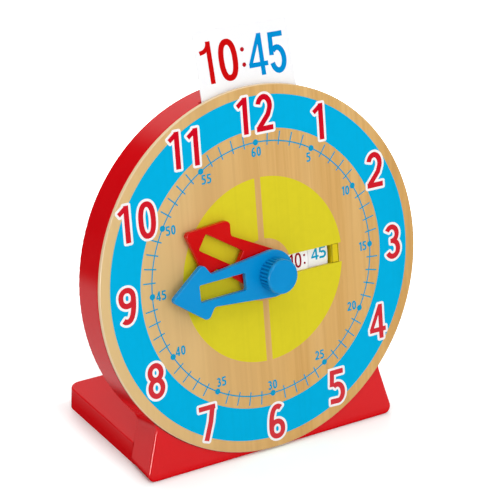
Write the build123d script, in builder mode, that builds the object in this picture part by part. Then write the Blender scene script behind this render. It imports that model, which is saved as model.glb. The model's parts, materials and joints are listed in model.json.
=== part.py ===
"""Geared teaching clock: a leaning round dial on a stand, with a time window.

Millimetres, +Z up. The front faces -Y and the dial leans back towards +Y. The origin is
on the floor, under the middle of the base plate. Heights along the dial's own axis are
counted from the dial's front face, positive towards the viewer.
"""
import os
from math import acos, atan2, cos, pi, radians, sin, tan

from build123d import *

os.makedirs("parts", exist_ok=True)

# ---- Case: dial, body board with its foot, and base plate ----
lean_angle = 12.0           # the dial leans back from the vertical
disc_radius = 144.2         # the dial board and the body board are flush
dial_thickness = 3.0
dial_edge_round = 1.2
body_thickness = 30.0
body_edge_round = 1.6
foot_drop = 145.5           # dial centre down to the foot's front edge, along the board
foot_half_width = 116.4     # at the floor, before its corners are rounded
foot_flare = 16.2           # the foot's sides lean out by this angle
waist_round = 11.0          # where the foot's sides meet the disc
foot_corner_round = 6.0
base_length = 108.7
base_inset = 6.5            # the base plate's sides lie inside the foot's
base_thickness = 18.0
base_corner_round = 11.0
base_edge_round = 1.2
dowel_radius = 4.0
dowel_length = 30.0
dowel_spacing = 70.0
dowel_count = 3

# ---- Window in the dial, and the back cover ----
window_start = 20.0         # from the dial's centre
window_height = 15.4
window_lug_gap = 0.5        # round the tray's lug that fills the window's outer end
window_lug_recess = 0.5     # the lug stops this far behind the dial's front
window_lug_length = 4.8
cover_overlap = 10.0        # the back cover reaches this far past the hole for the works
cover_thickness = 3.0

# ---- Time card and its slot in the top of the body ----
card_width = 85.0
card_height = 63.5
card_thickness = 0.8
card_corner_round = 3.0
card_lean = 8.7             # leans back further than the dial
card_depth = 17.0           # how far it stands in the slot
card_offset = 1.2           # stands slightly right of the middle of the slot

# ---- Clearances ----
running_gap = 0.05          # radial, shaft in bore
seat_gap = 0.02             # radial, pieces fixed on each other
lay_gap = 0.3               # pieces that pass or rest beside each other
end_gap = 0.4               # pieces that turn beside a fixed face
hand_gap = 1.8              # between the hands
mesh_margin = 0.2           # a wheel lies this far inside the face of the gear it drives
cavity_gap = 1.0            # round the tray in its hole
cover_gap = 0.3             # round the tray's flange and the back cover in their seats
blind_gap = 1.0             # beyond the end of a screw or dowel in its hole
cup_gap = 4.5               # round the gear cluster
shelf_gap = 3.4             # behind the minute disc
disc_rim_gap = 2.0          # from the minute disc's edge to the tray's rim
plate_rim_gap = 4.5         # round the gear plate in the hole for the works

# ---- Hands and knob ----
minute_angle = 268.2        # clockwise from twelve
hour_angle = 301.7
hour_hand_thickness = 4.0
hour_hub_radius = 18.0
minute_hand_thickness = 4.0
minute_hub_radius = 18.5
hand_edge_round = 0.8
neck_round = 3.5
wing_round = 4.0
tip_round = 3.0
slot_corner_round = 1.4
# (reach, half width) of the neck and the wings, reach of the tip, and the slot's
# start, end and half width
minute_neck, minute_wing, minute_tip = (54.5, 12.8), (61.0, 22.6), 91.1
minute_slot = (25.3, 66.0, 6.8)
hour_neck, hour_wing, hour_tip = (45.7, 13.3), (52.2, 23.9), 84.7
hour_slot = (30.2, 67.4, 6.7)
knob_radius = 13.4
knob_height = 13.4
knob_front_round = 1.7
knob_rib_count = 28
knob_rib_radius = 1.0
knob_rib_depth = 1.5        # from the ribs' outside down to the round core between them
knob_smooth_front = 0.6     # the ribs stop this far behind the knob's front
knob_bore_depth = 9.0

# ---- Turning pieces ----
shaft_radius = 3.0
key_flat = 0.6              # depth of the flat that drives a fixed piece
sleeve_wall = 1.5
bush_wall = 2.0
bush_flange = 2.5           # the dial bush's flange stands out this far
bush_flange_thickness = 2.8
flange_radius = 12.0        # behind each number disc
flange_thickness = 0.7
disc_thickness = 0.6
hour_disc_radius = 43.3
minute_disc_radius = 62.6

# ---- Gears ----
gear_module = 1.0
pressure_angle = 25.0
addendum = 1.0              # in modules
dedendum = 1.25
backlash = 0.2              # taken off each pair at the pitch circle
drive_teeth = 15            # shaft pinion, and the gear behind the minute disc
cluster_teeth = 45
pinion_teeth = 12
hour_teeth = 48
stud_angle = -90.0          # where the cluster hangs, anticlockwise from three o'clock
wheel_thickness = 2.4
disc_gear_thickness = 4.0
shaft_pinion_thickness = 3.0
stud_radius = 2.5
hub_wall = 1.5
stud_collar = 2.0           # the collar stands out this far from the stud
stud_head = 1.5
stud_head_height = 0.7
stud_tip = 0.5              # in front of the clip
clip_rim = 1.7
clip_thickness = 0.4
clip_groove_depth = 0.6
clip_mouth = 3.0

# ---- Tray and gear plate ----
tray_wall = 2.0
flange_overlap = 8.0        # the tray's flange reaches this far past the hole
tray_flange_thickness = 2.0
plate_thickness = 2.5
boss_radius = 4.5
boss_merge = 1.0            # the bosses run this far into the cup's wall
plate_margin = 0.5          # the gear plate reaches this far past the bosses
plate_bush_wall = 1.6
plate_bush_flange = 1.9     # stands out this far
plate_bush_flange_thickness = 0.6

# ---- Fasteners ----
screw_radius = 1.4
screw_head_radius = 2.8
pan_head_height = 1.9
pan_head_round = 0.6
countersink_depth = 1.4
recess_length = 3.0
recess_width = 0.7
recess_depth = 0.8
tray_screw_count = 4
tray_screw_length = 12.0
tray_screw_turn = 45.0
plate_screw_count = 4
plate_screw_turn = 45.0
plate_screw_length = 9.0
cover_screw_count = 6
cover_screw_length = 12.0
washer_radius = 8.0
washer_thickness = 1.0
friction_washer_radius = 7.0
friction_washer_thickness = 0.8
shaft_screw_length = 8.0

# ---- Radii worked out from the sizes above ----
bore_radius = shaft_radius + running_gap
sleeve_radius = shaft_radius + sleeve_wall
sleeve_seat = sleeve_radius + running_gap
bush_radius = sleeve_radius + bush_wall
bush_flange_radius = bush_radius + bush_flange
plate_bush_radius = shaft_radius + plate_bush_wall
plate_bush_flange_radius = plate_bush_radius + plate_bush_flange
cluster_hub_radius = stud_radius + hub_wall
gear_distance = gear_module * (drive_teeth + cluster_teeth) / 2
cup_radius = gear_distance + gear_module * (cluster_teeth / 2 + addendum) + cup_gap
cup_outer_radius = cup_radius + tray_wall
boss_circle = cup_outer_radius + boss_radius - boss_merge
plate_radius = boss_circle + boss_radius + plate_margin
tray_rim_radius = minute_disc_radius + disc_rim_gap
rim_outer_radius = tray_rim_radius + tray_wall
cavity_radius = max(rim_outer_radius + cavity_gap, plate_radius + plate_rim_gap)
tray_flange_radius = cavity_radius + flange_overlap
cover_radius = cavity_radius + cover_overlap
tray_screw_circle = (cavity_radius + tray_flange_radius) / 2
cover_screw_circle = (cavity_radius + cover_radius) / 2
window_end = tray_rim_radius + window_lug_length + window_lug_gap
slot_half_width = card_width / 2 + card_offset + lay_gap
base_half_width = foot_half_width - base_inset

# ---- Heights along the dial's axis, from the front to the back ----
hour_hand_base = bush_flange_thickness + end_gap
sleeve_front = hour_hand_base + hour_hand_thickness - lay_gap
minute_hand_base = hour_hand_base + hour_hand_thickness + hand_gap
knob_base = minute_hand_base + minute_hand_thickness
knob_front = knob_base + knob_height
body_front = -dial_thickness
body_back = body_front - body_thickness
flange_back = body_front - tray_flange_thickness
hour_disc_front = body_front - end_gap
hour_disc_back = hour_disc_front - disc_thickness
minute_disc_front = hour_disc_back - flange_thickness - lay_gap
minute_disc_back = minute_disc_front - disc_thickness
tray_shelf_front = minute_disc_back - shelf_gap
shelf_back = tray_shelf_front - tray_wall
disc_gear_front = minute_disc_back - flange_thickness
disc_gear_back = disc_gear_front - disc_gear_thickness
cluster_front = disc_gear_back + mesh_margin + wheel_thickness
clip_front = cluster_front + lay_gap + clip_thickness
stud_front = clip_front + stud_tip
hour_wheel_front = disc_gear_back - 2 * lay_gap
hour_wheel_back = hour_wheel_front - wheel_thickness
shaft_pinion_front = hour_wheel_back - lay_gap - end_gap
shaft_pinion_back = shaft_pinion_front - shaft_pinion_thickness
cluster_pinion_front = cluster_front - wheel_thickness
cluster_rear_front = shaft_pinion_front - lay_gap
cluster_back = cluster_rear_front - wheel_thickness
plate_front = shaft_pinion_back - end_gap - plate_bush_flange_thickness
plate_back = plate_front - plate_thickness
friction_washer_front = plate_back - lay_gap
shaft_back = friction_washer_front - friction_washer_thickness
washer_back = shaft_back - washer_thickness

# ---- Where the dial stands, and where the cluster hangs ----
lean = radians(lean_angle)
dial_centre_z = foot_drop * cos(lean) - body_front * sin(lean)
foot_back_drop = (dial_centre_z + body_back * sin(lean)) / cos(lean)
dial_centre_y = -base_length / 2 + foot_back_drop * sin(lean) + body_back * cos(lean)
dial_plane = Plane(
    origin=(0, dial_centre_y, dial_centre_z),
    x_dir=(1, 0, 0),
    z_dir=(0, -cos(lean), sin(lean)),
)
dial_axis = Axis(dial_plane.origin, dial_plane.z_dir)
section_plane = Plane(
    origin=dial_plane.origin, x_dir=(1, 0, 0), z_dir=-dial_plane.y_dir
)
stud_x = gear_distance * cos(radians(stud_angle))
stud_y = gear_distance * sin(radians(stud_angle))


def level(height):
    """The plane across the dial's axis at this height above the dial's front."""
    return dial_plane.offset(height)


def hand_level(clock_angle, height):
    """Such a plane with its x direction pointing where a hand points."""
    turn = radians(90 - clock_angle)
    return Plane(
        origin=level(height).origin,
        x_dir=dial_plane.x_dir * cos(turn) + dial_plane.y_dir * sin(turn),
        z_dir=dial_plane.z_dir,
    )


def stud_level(height):
    """Such a plane centred on the cluster's stud."""
    return Plane(
        origin=level(height).from_local_coords((stud_x, stud_y, 0)),
        x_dir=dial_plane.x_dir,
        z_dir=dial_plane.z_dir,
    )


def keyed_round(radius):
    """A round section with one flat, for a shaft end or the bore that it drives."""
    with BuildSketch() as section:
        Circle(radius)
        with Locations((0, radius)):
            Rectangle(2 * radius, 2 * key_flat, mode=Mode.SUBTRACT)
    return section.sketch


def hand_outline(hub_radius, neck, wing, tip, opening):
    """A hand pointing along x: round hub, tapering arm, arrow head and long opening."""
    arm_start = atan2(hub_radius - neck[1], neck[0])
    root = (hub_radius * sin(arm_start), hub_radius * cos(arm_start))
    start, end, half_width = opening
    with BuildSketch() as outline:
        with BuildLine():
            Polyline(
                (0, root[1]), root, neck, wing, (tip, 0),
                (wing[0], -wing[1]), (neck[0], -neck[1]), (root[0], -root[1]),
                (0, -root[1]), close=True,
            )
        make_face()
        # from the tip back: the tip, the two wings, the two neck corners
        fillet(outline.vertices().group_by(Axis.X)[-3], neck_round)
        fillet(outline.vertices().group_by(Axis.X)[-2], wing_round)
        fillet(outline.vertices().group_by(Axis.X)[-1], tip_round)
        Circle(hub_radius)
        with Locations(((start + end) / 2, 0)):
            RectangleRounded(
                end - start, 2 * half_width, slot_corner_round, mode=Mode.SUBTRACT
            )
    return outline.sketch


def involute(angle):
    """Involute function of a pressure angle in radians."""
    return tan(angle) - angle


def gear_outline(teeth, tooth_angle):
    """A spur gear's outline, with one tooth centred at tooth_angle in radians."""
    pressure = radians(pressure_angle)
    pitch_radius = gear_module * teeth / 2
    base_radius = pitch_radius * cos(pressure)
    tip_radius = pitch_radius + gear_module * addendum
    root_radius = pitch_radius - gear_module * dedendum
    flank_start = max(base_radius, root_radius)
    half_tooth = (pi * gear_module - backlash) / (4 * pitch_radius)

    def point(radius, tooth, side):
        reach = max(radius, base_radius)
        flank = half_tooth + involute(pressure) - involute(acos(base_radius / reach))
        angle = tooth_angle + 2 * pi * tooth / teeth + side * flank
        return radius * cos(angle), radius * sin(angle)

    flank_middle = (flank_start + tip_radius) / 2
    with BuildSketch() as outline:
        with BuildLine():
            for tooth in range(teeth):
                if root_radius < base_radius:
                    Line(point(root_radius, tooth, -1), point(flank_start, tooth, -1))
                ThreePointArc(
                    point(flank_start, tooth, -1),
                    point(flank_middle, tooth, -1),
                    point(tip_radius, tooth, -1),
                )
                Line(point(tip_radius, tooth, -1), point(tip_radius, tooth, 1))
                ThreePointArc(
                    point(tip_radius, tooth, 1),
                    point(flank_middle, tooth, 1),
                    point(flank_start, tooth, 1),
                )
                if root_radius < base_radius:
                    Line(point(flank_start, tooth, 1), point(root_radius, tooth, 1))
                Line(point(root_radius, tooth, 1), point(root_radius, tooth + 1, -1))
        make_face()
    return outline.sketch


def mating_angle(teeth):
    """Tooth angle of a gear on the dial's axis that meshes with the cluster.

    The cluster's gears all have a tooth that points at the dial's axis, so the gear
    on that axis has the middle of a gap on the line of centres.
    """
    return radians(stud_angle) + pi / teeth


def turned(outline):
    """A round piece: its (radius, height) outline turned about the dial's axis."""
    with BuildPart() as piece:
        with BuildSketch(section_plane):
            with BuildLine():
                Polyline(*outline, close=True)
            make_face()
        revolve(axis=dial_axis)
    return piece.part


def cross_recess(height):
    """Two crossed slots in a screw's head, for use inside its builder."""
    for length, width in ((recess_length, recess_width), (recess_width, recess_length)):
        with Locations((0, 0, height)):
            Box(
                length, width, recess_depth,
                align=(Align.CENTER, Align.CENTER, Align.MAX), mode=Mode.SUBTRACT,
            )


def countersunk_screw(length, recessed=True):
    """A countersunk screw with its head's face at z = 0 and its point along -z.

    Without its recess it is the shape of the hole that the screw seats in.
    """
    with BuildPart() as screw:
        with BuildSketch(Plane.XZ):
            with BuildLine():
                Polyline(
                    (0, 0), (screw_head_radius, 0), (screw_radius, -countersink_depth),
                    (screw_radius, screw_radius - length), (0, -length), close=True,
                )
            make_face()
        revolve(axis=Axis.Z)
        if recessed:
            cross_recess(0)
    return screw.part


def pan_head_screw(length):
    """A pan-head screw that seats at z = 0, with its head along +z."""
    with BuildPart() as screw:
        Cylinder(
            screw_head_radius, pan_head_height,
            align=(Align.CENTER, Align.CENTER, Align.MIN),
        )
        fillet(screw.edges().sort_by(Axis.Z)[-1], pan_head_round)
        Cylinder(
            screw_radius, length, align=(Align.CENTER, Align.CENTER, Align.MAX)
        )
        cross_recess(pan_head_height)
    return screw.part


def finish(piece, name):
    """Label a piece and write its file."""
    piece.part.label = name
    export_step(piece.part, f"parts/{name}.step")


# ---- Body board: the disc and the flared foot are one board ----
flare_slope = tan(radians(foot_flare))
foot_bottom = -foot_drop - foot_corner_round
foot_bottom_half = foot_half_width + flare_slope * foot_corner_round
foot_top = -disc_radius / 2
foot_top_half = foot_half_width - flare_slope * (foot_drop + foot_top)
card_tilt = radians(card_lean)
card_foot = disc_radius - card_depth
slot_floor = card_foot - card_thickness * sin(card_tilt) - lay_gap
slot_depth = 2 * lay_gap + card_thickness / cos(card_tilt) + card_depth * tan(card_tilt)

with BuildPart() as body_frame:
    with BuildSketch(level(body_back)) as body_outline:
        Circle(disc_radius)
        with BuildLine():
            Polyline(
                (-foot_top_half, foot_top),
                (foot_top_half, foot_top),
                (foot_bottom_half, foot_bottom),
                (-foot_bottom_half, foot_bottom),
                close=True,
            )
        make_face()
        waists = body_outline.vertices().sort_by(Axis.Y)[2:4]
        fillet(waists, waist_round)
    extrude(amount=body_thickness)
    split(bisect_by=Plane.XY, keep=Keep.TOP)
    floor_edges = body_frame.faces().sort_by(Axis.Z)[0].edges()
    fillet([floor_edges.sort_by(Axis.X)[0], floor_edges.sort_by(Axis.X)[-1]], foot_corner_round)
    board_faces = body_frame.faces().sort_by(dial_axis)
    fillet(board_faces[0].edges() + board_faces[-1].edges(), body_edge_round)
    # the hole for the works, the tray's seat in front and the cover's seat behind
    with BuildSketch(level(body_back)):
        Circle(cavity_radius)
    extrude(amount=body_thickness, mode=Mode.SUBTRACT)
    with BuildSketch(level(body_front)):
        Circle(tray_flange_radius + cover_gap)
    extrude(amount=-tray_flange_thickness, mode=Mode.SUBTRACT)
    with BuildSketch(level(body_back)):
        Circle(cover_radius)
    extrude(amount=cover_thickness, mode=Mode.SUBTRACT)
    # the card's slot, open at the top and closed in front by the dial
    with BuildSketch(level(body_front)):
        with Locations((0, slot_floor)):
            Rectangle(2 * slot_half_width, disc_radius, align=(Align.CENTER, Align.MIN))
    extrude(amount=-slot_depth, mode=Mode.SUBTRACT)
    # screw holes for the tray and the cover
    with BuildSketch(level(body_front)):
        with PolarLocations(tray_screw_circle, tray_screw_count, tray_screw_turn):
            Circle(screw_radius + seat_gap)
    extrude(amount=-tray_screw_length - blind_gap, mode=Mode.SUBTRACT)
    with BuildSketch(level(body_back)):
        with PolarLocations(cover_screw_circle, cover_screw_count):
            Circle(screw_radius + seat_gap)
    extrude(amount=cover_screw_length + blind_gap, mode=Mode.SUBTRACT)
    # dowel holes into the back of the foot
    with BuildSketch(Plane.XZ.offset(base_length / 2)):
        with Locations((0, base_thickness / 2)):
            with GridLocations(dowel_spacing, 0, dowel_count, 1):
                Circle(dowel_radius + seat_gap)
    extrude(amount=dowel_length / 2 + blind_gap, both=True, mode=Mode.SUBTRACT)
finish(body_frame, "body_frame")

# ---- Base plate behind the foot, its front end bevelled to the lean ----
base_top_front = -base_length / 2 + base_thickness * tan(lean)
with BuildPart() as base_plate:
    with BuildSketch(Plane.YZ.offset(-base_half_width)):
        with BuildLine():
            Polyline(
                (-base_length / 2, 0), (base_length / 2, 0),
                (base_length / 2, base_thickness), (base_top_front, base_thickness),
                close=True,
            )
        make_face()
    extrude(amount=2 * base_half_width)
    upright_edges = base_plate.edges().filter_by(Axis.Z).sort_by(Axis.Y)[-2:]
    fillet(upright_edges, base_corner_round)
    free_edges = base_plate.faces().sort_by(Axis.Z)[-1].edges().sort_by(Axis.Y)[1:]
    fillet(free_edges, base_edge_round)
    with BuildSketch(Plane.XZ.offset(base_length / 2)):
        with Locations((0, base_thickness / 2)):
            with GridLocations(dowel_spacing, 0, dowel_count, 1):
                Circle(dowel_radius + seat_gap)
    extrude(amount=dowel_length / 2 + blind_gap, both=True, mode=Mode.SUBTRACT)
finish(base_plate, "base_plate")

with BuildPart() as base_dowels:
    with BuildSketch(Plane.XZ.offset(base_length / 2 - dowel_length / 2)):
        with Locations((0, base_thickness / 2)):
            with GridLocations(dowel_spacing, 0, dowel_count, 1):
                Circle(dowel_radius)
    extrude(amount=dowel_length)
finish(base_dowels, "base_dowels")

# ---- Dial board with its centre hole and time window ----
with BuildPart() as dial_board:
    with BuildSketch(level(-dial_thickness)):
        Circle(disc_radius)
        Circle(bush_radius + seat_gap, mode=Mode.SUBTRACT)
    extrude(amount=dial_thickness)
    rim = dial_board.faces().sort_by(dial_axis)[-1].edges().sort_by(SortBy.LENGTH)[-1]
    fillet(rim, dial_edge_round)
    with BuildSketch(level(-dial_thickness)):
        with Locations(((window_start + window_end) / 2, 0)):
            Rectangle(window_end - window_start, window_height)
    extrude(amount=dial_thickness, mode=Mode.SUBTRACT)
finish(dial_board, "dial_board")

with BuildPart() as hour_bush:
    add(turned([
        (sleeve_seat, body_front), (bush_radius, body_front), (bush_radius, 0),
        (bush_flange_radius, 0), (bush_flange_radius, bush_flange_thickness),
        (sleeve_seat, bush_flange_thickness),
    ]))
finish(hour_bush, "hour_bush")

# ---- Tray behind the dial: rim with a lug in the window, shelf, cup and bosses ----
with BuildPart() as movement_tray:
    add(turned([
        (tray_rim_radius, body_front), (tray_flange_radius, body_front),
        (tray_flange_radius, flange_back), (rim_outer_radius, flange_back),
        (rim_outer_radius, shelf_back), (cup_outer_radius, shelf_back),
        (cup_outer_radius, plate_front), (cup_radius, plate_front),
        (cup_radius, tray_shelf_front), (tray_rim_radius, tray_shelf_front),
    ]))
    with BuildSketch(level(body_front)):
        with Locations((tray_rim_radius, 0)):
            Rectangle(
                window_lug_length, window_height - 2 * window_lug_gap,
                align=(Align.MIN, Align.CENTER),
            )
        Circle(tray_rim_radius, mode=Mode.SUBTRACT)
    extrude(amount=dial_thickness - window_lug_recess)
    with BuildSketch(level(shelf_back)):
        with PolarLocations(boss_circle, plate_screw_count, plate_screw_turn):
            Circle(boss_radius)
        Circle(cup_radius + tray_wall / 2, mode=Mode.SUBTRACT)
    extrude(amount=plate_front - shelf_back)
    with BuildSketch(level(plate_front)):
        with PolarLocations(boss_circle, plate_screw_count, plate_screw_turn):
            Circle(screw_radius + seat_gap)
    boss_hole_depth = plate_screw_length - plate_thickness + blind_gap
    extrude(amount=boss_hole_depth, mode=Mode.SUBTRACT)
    with BuildPart(level(body_front), mode=Mode.SUBTRACT):
        with PolarLocations(tray_screw_circle, tray_screw_count, tray_screw_turn):
            add(countersunk_screw(tray_screw_length, recessed=False))
finish(movement_tray, "movement_tray")

with BuildPart(level(body_front)) as tray_screws:
    with PolarLocations(tray_screw_circle, tray_screw_count, tray_screw_turn):
        add(countersunk_screw(tray_screw_length))
finish(tray_screws, "tray_screws")

# ---- Gear plate that closes the cup, with the shaft's rear bush ----
with BuildPart() as gear_plate:
    with BuildSketch(level(plate_back)):
        Circle(plate_radius)
        Circle(plate_bush_radius + seat_gap, mode=Mode.SUBTRACT)
        with Locations((stud_x, stud_y)):
            Circle(stud_radius + seat_gap, mode=Mode.SUBTRACT)
        with PolarLocations(boss_circle, plate_screw_count, plate_screw_turn):
            Circle(screw_radius + running_gap, mode=Mode.SUBTRACT)
    extrude(amount=plate_thickness)
finish(gear_plate, "gear_plate")

with BuildPart() as shaft_bush:
    add(turned([
        (bore_radius, plate_back), (plate_bush_radius, plate_back),
        (plate_bush_radius, plate_front), (plate_bush_flange_radius, plate_front),
        (plate_bush_flange_radius, plate_front + plate_bush_flange_thickness),
        (bore_radius, plate_front + plate_bush_flange_thickness),
    ]))
finish(shaft_bush, "shaft_bush")

plate_screw_plane = Plane(level(plate_back).location * Location((0, 0, 0), (180, 0, 0)))
with BuildPart(plate_screw_plane) as gear_plate_screws:
    with PolarLocations(boss_circle, plate_screw_count, plate_screw_turn):
        add(pan_head_screw(plate_screw_length))
finish(gear_plate_screws, "gear_plate_screws")

# ---- Stud that carries the gear cluster, and its clip ----
with BuildPart() as cluster_stud:
    with BuildSketch(stud_level(plate_back - stud_head_height)):
        Circle(stud_radius + stud_head)
    extrude(amount=stud_head_height)
    with BuildSketch(stud_level(plate_back)):
        Circle(stud_radius)
    extrude(amount=stud_front - plate_back)
    with BuildSketch(stud_level(plate_front)):
        Circle(stud_radius + stud_collar)
    extrude(amount=cluster_back - lay_gap - plate_front)
    with BuildSketch(stud_level(clip_front + seat_gap)):
        Circle(stud_radius)
        Circle(stud_radius - clip_groove_depth, mode=Mode.SUBTRACT)
    extrude(amount=-clip_thickness - 2 * seat_gap, mode=Mode.SUBTRACT)
finish(cluster_stud, "cluster_stud")

clip_radius = stud_radius + clip_rim
with BuildPart() as stud_clip:
    with BuildSketch(stud_level(clip_front)):
        Circle(clip_radius)
        Circle(stud_radius - clip_groove_depth + seat_gap, mode=Mode.SUBTRACT)
        with Locations((clip_radius, 0)):
            Rectangle(2 * clip_radius, clip_mouth, mode=Mode.SUBTRACT)
    extrude(amount=-clip_thickness)
finish(stud_clip, "stud_clip")

# ---- Back cover and its screws ----
with BuildPart() as back_cover:
    with BuildSketch(level(body_back)):
        Circle(cover_radius - cover_gap)
    extrude(amount=cover_thickness)
    cover_screw_plane = Plane(level(body_back).location * Location((0, 0, 0), (180, 0, 0)))
    with BuildPart(cover_screw_plane, mode=Mode.SUBTRACT):
        with PolarLocations(cover_screw_circle, cover_screw_count):
            add(countersunk_screw(cover_screw_length, recessed=False))
finish(back_cover, "back_cover")

with BuildPart(cover_screw_plane) as back_cover_screws:
    with PolarLocations(cover_screw_circle, cover_screw_count):
        add(countersunk_screw(cover_screw_length))
finish(back_cover_screws, "back_cover_screws")

# ---- Minute shaft with the pieces fixed on it ----
with BuildPart() as minute_shaft:
    with BuildSketch(level(shaft_back)):
        Circle(shaft_radius)
    extrude(amount=minute_hand_base - shaft_back)
    with BuildSketch(hand_level(minute_angle, minute_hand_base)):
        add(keyed_round(shaft_radius))
    extrude(amount=minute_hand_thickness + knob_bore_depth - lay_gap)
    with BuildSketch(hand_level(minute_angle, shaft_pinion_back)):
        Circle(shaft_radius)
        add(keyed_round(shaft_radius), mode=Mode.SUBTRACT)
    extrude(amount=shaft_pinion_thickness, mode=Mode.SUBTRACT)
    with BuildSketch(level(shaft_back)):
        Circle(screw_radius + seat_gap)
    extrude(amount=shaft_screw_length, mode=Mode.SUBTRACT)
finish(minute_shaft, "minute_shaft")

with BuildPart() as minute_hand:
    with BuildSketch(hand_level(minute_angle, minute_hand_base)):
        add(hand_outline(minute_hub_radius, minute_neck, minute_wing, minute_tip, minute_slot))
    extrude(amount=minute_hand_thickness)
    fillet(minute_hand.faces().sort_by(dial_axis)[-1].edges(), hand_edge_round)
    with BuildSketch(hand_level(minute_angle, minute_hand_base)):
        add(keyed_round(shaft_radius + seat_gap))
    extrude(amount=minute_hand_thickness, mode=Mode.SUBTRACT)
finish(minute_hand, "minute_hand")

with BuildPart() as knob:
    with BuildSketch(hand_level(minute_angle, knob_base)):
        Circle(knob_radius - knob_rib_depth)
        with PolarLocations(knob_radius - knob_rib_radius, knob_rib_count):
            Circle(knob_rib_radius)
    extrude(amount=knob_height - knob_front_round - knob_smooth_front)
    with BuildSketch(level(knob_front - knob_front_round - knob_smooth_front)):
        Circle(knob_radius)
    extrude(amount=knob_front_round + knob_smooth_front)
    fillet(knob.faces().sort_by(dial_axis)[-1].edges(), knob_front_round)
    with BuildSketch(hand_level(minute_angle, knob_base)):
        add(keyed_round(shaft_radius + seat_gap))
    extrude(amount=knob_bore_depth, mode=Mode.SUBTRACT)
finish(knob, "knob")

with BuildPart() as shaft_pinion:
    with BuildSketch(level(shaft_pinion_back)):
        add(gear_outline(drive_teeth, mating_angle(drive_teeth)))
    extrude(amount=shaft_pinion_thickness)
    with BuildSketch(hand_level(minute_angle, shaft_pinion_back)):
        add(keyed_round(shaft_radius + seat_gap))
    extrude(amount=shaft_pinion_thickness, mode=Mode.SUBTRACT)
finish(shaft_pinion, "shaft_pinion")

with BuildPart() as friction_washer:
    with BuildSketch(level(friction_washer_front)):
        Circle(friction_washer_radius)
        Circle(shaft_radius + seat_gap, mode=Mode.SUBTRACT)
    extrude(amount=-friction_washer_thickness)
finish(friction_washer, "friction_washer")

with BuildPart() as shaft_washer:
    with BuildSketch(level(shaft_back)):
        Circle(washer_radius)
        Circle(screw_radius + seat_gap, mode=Mode.SUBTRACT)
    extrude(amount=-washer_thickness)
finish(shaft_washer, "shaft_washer")

with BuildPart(Plane(level(washer_back).location * Location((0, 0, 0), (180, 0, 0)))) as shaft_screw:
    add(pan_head_screw(shaft_screw_length))
finish(shaft_screw, "shaft_screw")

# ---- Hour sleeve with the pieces fixed on it ----
with BuildPart() as hour_sleeve:
    with BuildSketch(level(hour_wheel_back)):
        Circle(sleeve_radius)
    extrude(amount=hour_hand_base - hour_wheel_back)
    with BuildSketch(hand_level(hour_angle, hour_hand_base)):
        add(keyed_round(sleeve_radius))
    extrude(amount=sleeve_front - hour_hand_base)
    with BuildSketch(hand_level(hour_angle, hour_wheel_back)):
        Circle(sleeve_radius)
        add(keyed_round(sleeve_radius), mode=Mode.SUBTRACT)
    extrude(amount=wheel_thickness, mode=Mode.SUBTRACT)
    with BuildSketch(level(hour_disc_back - flange_thickness)):
        Circle(flange_radius)
    extrude(amount=flange_thickness)
    with BuildSketch(level(hour_wheel_back)):
        Circle(bore_radius)
    extrude(amount=sleeve_front - hour_wheel_back, mode=Mode.SUBTRACT)
finish(hour_sleeve, "hour_sleeve")

with BuildPart() as hour_hand:
    with BuildSketch(hand_level(hour_angle, hour_hand_base)):
        add(hand_outline(hour_hub_radius, hour_neck, hour_wing, hour_tip, hour_slot))
    extrude(amount=hour_hand_thickness)
    fillet(hour_hand.faces().sort_by(dial_axis)[-1].edges(), hand_edge_round)
    with BuildSketch(hand_level(hour_angle, hour_hand_base)):
        add(keyed_round(sleeve_radius + seat_gap))
    extrude(amount=hour_hand_thickness, mode=Mode.SUBTRACT)
finish(hour_hand, "hour_hand")

with BuildPart() as hour_disc:
    with BuildSketch(level(hour_disc_front)):
        Circle(hour_disc_radius)
        Circle(sleeve_radius + seat_gap, mode=Mode.SUBTRACT)
    extrude(amount=-disc_thickness)
finish(hour_disc, "hour_disc")

with BuildPart() as hour_wheel:
    with BuildSketch(level(hour_wheel_back)):
        add(gear_outline(hour_teeth, mating_angle(hour_teeth)))
    extrude(amount=wheel_thickness)
    with BuildSketch(hand_level(hour_angle, hour_wheel_back)):
        add(keyed_round(sleeve_radius + seat_gap))
    extrude(amount=wheel_thickness, mode=Mode.SUBTRACT)
finish(hour_wheel, "hour_wheel")

# ---- Minute disc, which runs on the hour sleeve ----
with BuildPart() as minute_disc:
    with BuildSketch(level(minute_disc_front)):
        Circle(minute_disc_radius)
        Circle(sleeve_seat, mode=Mode.SUBTRACT)
    extrude(amount=-disc_thickness)
finish(minute_disc, "minute_disc")

with BuildPart() as minute_disc_gear:
    with BuildSketch(level(disc_gear_back)):
        add(gear_outline(drive_teeth, mating_angle(drive_teeth)))
    extrude(amount=disc_gear_thickness)
    with BuildSketch(level(disc_gear_front)):
        Circle(flange_radius)
    extrude(amount=flange_thickness)
    with BuildSketch(level(minute_disc_back)):
        Circle(sleeve_seat)
    extrude(amount=-flange_thickness - disc_gear_thickness, mode=Mode.SUBTRACT)
finish(minute_disc_gear, "minute_disc_gear")

# ---- Gear cluster on its stud ----
cluster_tooth_angle = radians(stud_angle + 180)


def cluster_wheel(front, name):
    """One of the cluster's two equal wheels, pressed on the pinion's hub."""
    with BuildPart() as wheel:
        with BuildSketch(stud_level(front)):
            add(gear_outline(cluster_teeth, cluster_tooth_angle))
            Circle(cluster_hub_radius + seat_gap, mode=Mode.SUBTRACT)
        extrude(amount=-wheel_thickness)
    finish(wheel, name)
    return wheel


cluster_wheel_front = cluster_wheel(cluster_front, "cluster_wheel_front")
cluster_wheel_rear = cluster_wheel(cluster_rear_front, "cluster_wheel_rear")

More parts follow.
